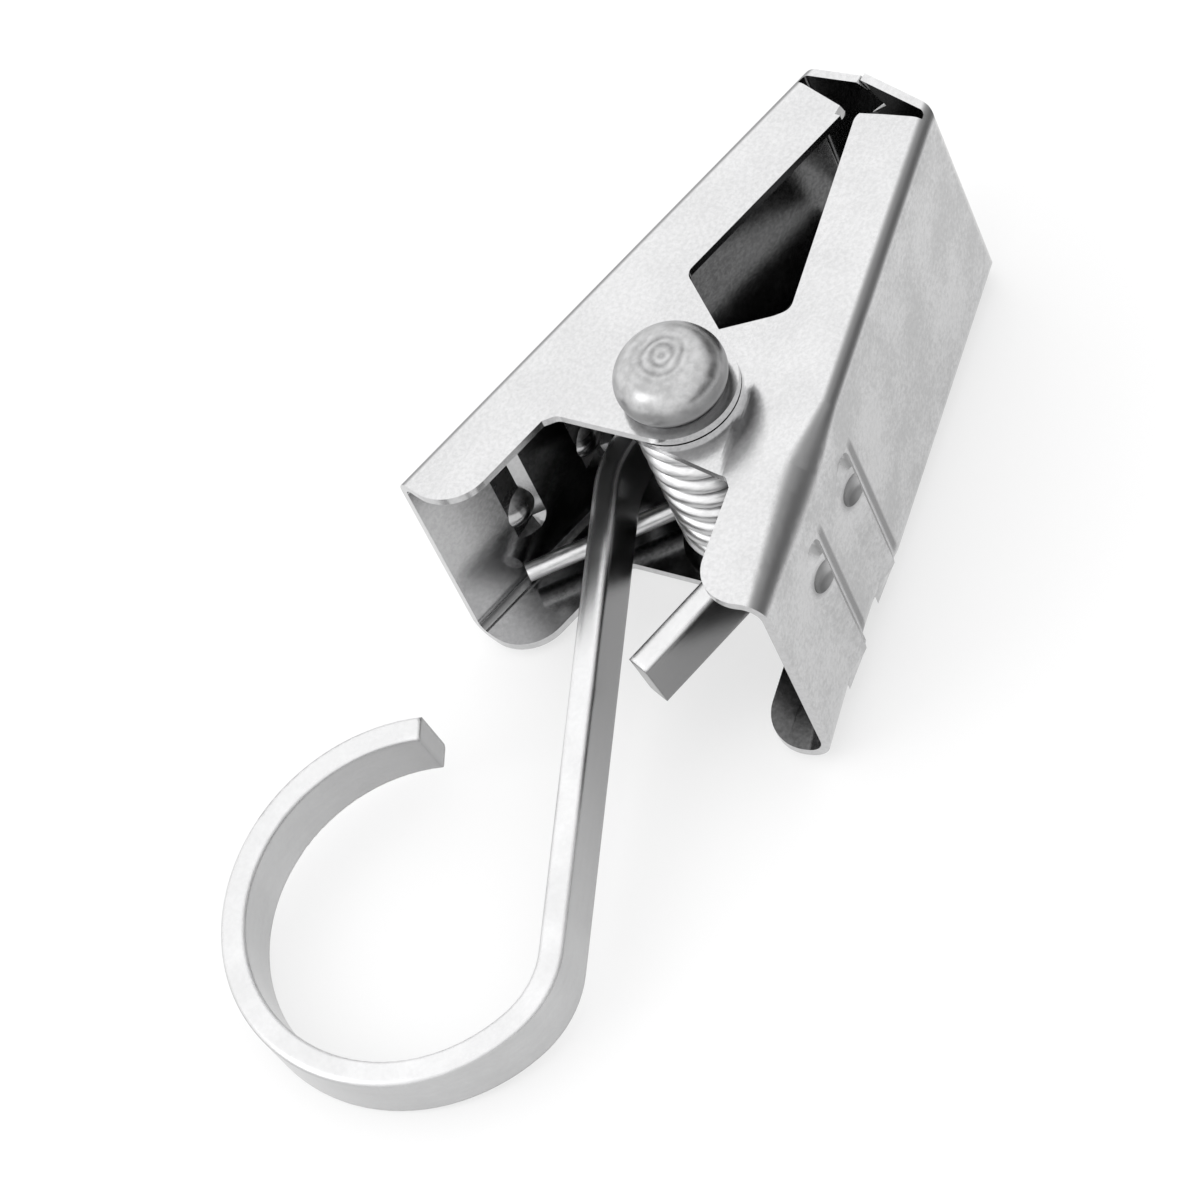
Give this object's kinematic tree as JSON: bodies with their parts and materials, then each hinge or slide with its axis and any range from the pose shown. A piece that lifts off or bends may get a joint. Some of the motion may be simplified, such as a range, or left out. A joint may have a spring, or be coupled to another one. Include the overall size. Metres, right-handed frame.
{
  "type": "curtain clip with hanging hook",
  "caption": "Sprung toothed clip that pinches a curtain's edge, with an open strip hook that hangs it from a ring, wire or rail.",
  "frame": {"origin": "middle of the bounding box on the surface that the clip lies on", "axes": "+X from the hook to the pinching tips, +Z along the rivet towards its domed head"},
  "size_m": [0.0553, 0.0238, 0.0167],
  "materials": {
    "jaw_steel": "bright rolled strip, lightly brushed",
    "rivet_steel": "cold headed and tumbled",
    "spring_wire": "bright plated drawn wire",
    "hook_strip": "satin flat strip"
  },
  "bodies": {
    "outer_jaw": {"outer_jaw": "jaw_steel", "rivet": "rivet_steel", "spring": "spring_wire"},
    "inner_jaw": {"inner_jaw": "jaw_steel"},
    "hook": {"hook": "hook_strip"}
  },
  "joints": [
    {"name": "jaw_pivot", "type": "hinge", "parent": "outer_jaw", "child": "inner_jaw", "pos_m": [0.00797, -0.00127, 0.00735], "axis": [0, 0, -1], "range_deg": [0, 30], "stiffness_Nm_per_rad": 0.05, "springref_deg": -34.38, "deforming": ["spring"]},
    {"name": "hook_swing", "type": "hinge", "parent": "outer_jaw", "child": "hook", "pos_m": [0.00797, -0.00127, 0.00735], "axis": [0, 0, -1], "range_deg": [-10, 40]}
  ]
}
